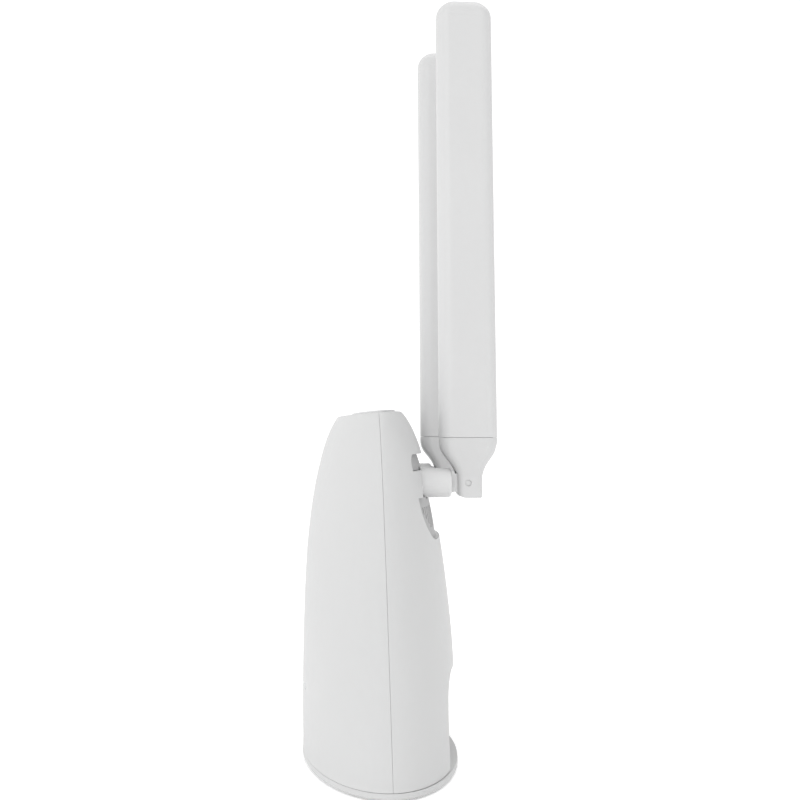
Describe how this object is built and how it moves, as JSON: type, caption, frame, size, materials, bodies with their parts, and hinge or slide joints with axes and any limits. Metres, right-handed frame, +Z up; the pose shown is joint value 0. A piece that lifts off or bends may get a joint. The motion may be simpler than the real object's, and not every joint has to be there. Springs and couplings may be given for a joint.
{
  "type": "tabletop wireless router",
  "caption": "Upright oval tabletop wireless router with a foot plate, a rear port recess, and paddle aerials on swivelling, folding elbows.",
  "frame": {"origin": "on the table, under the middle of the housing's oval lower edge", "axes": "+Z up, -Y towards the front, +Y towards the aerials and ports at the back, X across the width"},
  "size_m": [0.1452, 0.0762, 0.3047],
  "materials": {
    "shell_white": "fine matte grain",
    "cap_grey": "satin",
    "panel_grey": "matte, slotted",
    "antenna_white": "satin",
    "rubber_grey": "matte",
    "label_silver": "satin foil",
    "screw_steel": "zinc plated",
    "ballast_steel": "raw",
    "lamp_clear": "clear",
    "board_green": "solder mask",
    "can_tin": "tin plated",
    "pad_grey": "soft",
    "sink_aluminium": "plain",
    "jack_black": "semi-gloss",
    "contact_gold": "plated",
    "button_white": "satin",
    "connector_brass": "plated",
    "lead_black": "sheath",
    "copper_trace": "etched copper"
  },
  "bodies": {
    "housing": {"front_shell": "shell_white", "rear_shell": "shell_white", "top_cap": "cap_grey", "cap_retainer": "shell_white", "antenna_panel": "panel_grey", "port_panel": "shell_white", "foot_plate": "shell_white", "rubber_feet": "rubber_grey", "blank_label": "label_silver", "case_screws": "screw_steel", "ballast_plate": "ballast_steel", "status_lenses": "lamp_clear", "light_guide": "lamp_clear", "main_board": "board_green", "board_screws": "screw_steel", "shield_cans": "can_tin", "thermal_pad": "pad_grey", "heat_sink": "sink_aluminium", "ethernet_jacks": "jack_black", "phone_jack": "jack_black", "jack_contacts": "contact_gold", "power_jack": "jack_black", "power_jack_pin": "contact_gold", "sim_socket": "can_tin", "switch_bodies": "jack_black", "wifi_antenna_strips": "board_green", "antenna_jacks": "connector_brass", "jack_nuts": "connector_brass", "coax_leads": "lead_black"},
    "power_button": {"power_button": "button_white"},
    "sync_button": {"sync_button": "button_white"},
    "reset_button": {"reset_button": "button_white"},
    "right_swivel": {"right_swivel_barrel": "antenna_white", "right_coupling_insert": "connector_brass", "right_centre_contact": "contact_gold"},
    "right_antenna": {"right_hinge_pin": "antenna_white", "right_antenna_base": "antenna_white", "right_antenna_cover": "antenna_white", "right_antenna_board": "board_green", "right_antenna_element": "copper_trace"},
    "left_swivel": {"left_swivel_barrel": "antenna_white", "left_coupling_insert": "connector_brass", "left_centre_contact": "contact_gold"},
    "left_antenna": {"left_hinge_pin": "antenna_white", "left_antenna_base": "antenna_white", "left_antenna_cover": "antenna_white", "left_antenna_board": "board_green", "left_antenna_element": "copper_trace"}
  },
  "joints": [
    {"name": "right_antenna_swivel", "type": "hinge", "parent": "housing", "child": "right_swivel", "pos_m": [0.034, 0.0141, 0.1136], "axis": [0, 1, 0], "range_deg": [-5, 90]},
    {"name": "right_antenna_fold", "type": "hinge", "parent": "right_swivel", "child": "right_antenna", "pos_m": [0.034, 0.0327, 0.1136], "axis": [-1, 0, 0], "range_deg": [0, 90]},
    {"name": "left_antenna_swivel", "type": "hinge", "parent": "housing", "child": "left_swivel", "pos_m": [-0.034, 0.0141, 0.1136], "axis": [0, -1, 0], "range_deg": [-5, 90]},
    {"name": "left_antenna_fold", "type": "hinge", "parent": "left_swivel", "child": "left_antenna", "pos_m": [-0.034, 0.0327, 0.1136], "axis": [-1, 0, 0], "range_deg": [0, 90]},
    {"name": "power_button_press", "type": "slide", "parent": "housing", "child": "power_button", "axis": [0, -1, 0], "range_m": [0, 0.0015], "stiffness_N_per_m": 700},
    {"name": "sync_button_press", "type": "slide", "parent": "housing", "child": "sync_button", "axis": [0, -1, 0], "range_m": [0, 0.0006], "stiffness_N_per_m": 1200},
    {"name": "reset_button_press", "type": "slide", "parent": "housing", "child": "reset_button", "axis": [0, -1, 0], "range_m": [0, 0.0005], "stiffness_N_per_m": 1200}
  ]
}
